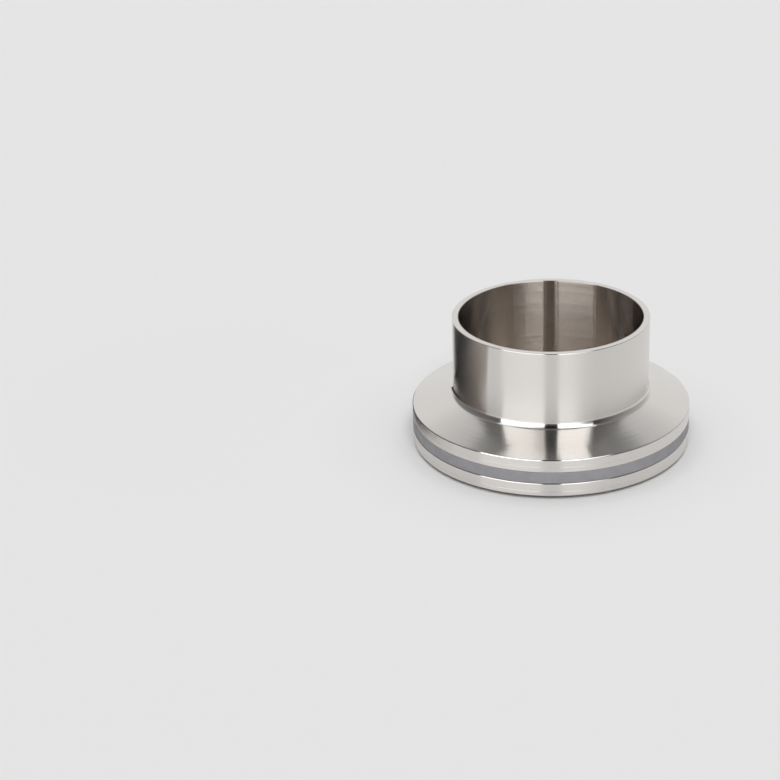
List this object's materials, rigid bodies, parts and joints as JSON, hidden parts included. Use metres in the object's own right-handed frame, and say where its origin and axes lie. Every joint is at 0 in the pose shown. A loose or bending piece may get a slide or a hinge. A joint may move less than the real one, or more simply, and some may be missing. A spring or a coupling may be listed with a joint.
{
  "type": "sanitary clamp ferrule",
  "caption": "Short weld-neck clamp ferrule with a sloped flange, stacked on a beaded gasket and a blank end cap with a matching rim.",
  "frame": {"origin": "on the axis of the bore, on the flat back of the end cap, where the stack rests", "axes": "+Z along the bore axis, from the end cap towards the neck's open end; +X to the right and +Y away as the picture looks"},
  "size_m": [0.064, 0.064, 0.0307],
  "materials": {
    "polished_steel": "turned and polished round the axis",
    "gasket_rubber": "matte moulded"
  },
  "bodies": {
    "root": {"ferrule": "polished_steel", "gasket": "gasket_rubber", "end_cap": "polished_steel"}
  },
  "joints": []
}
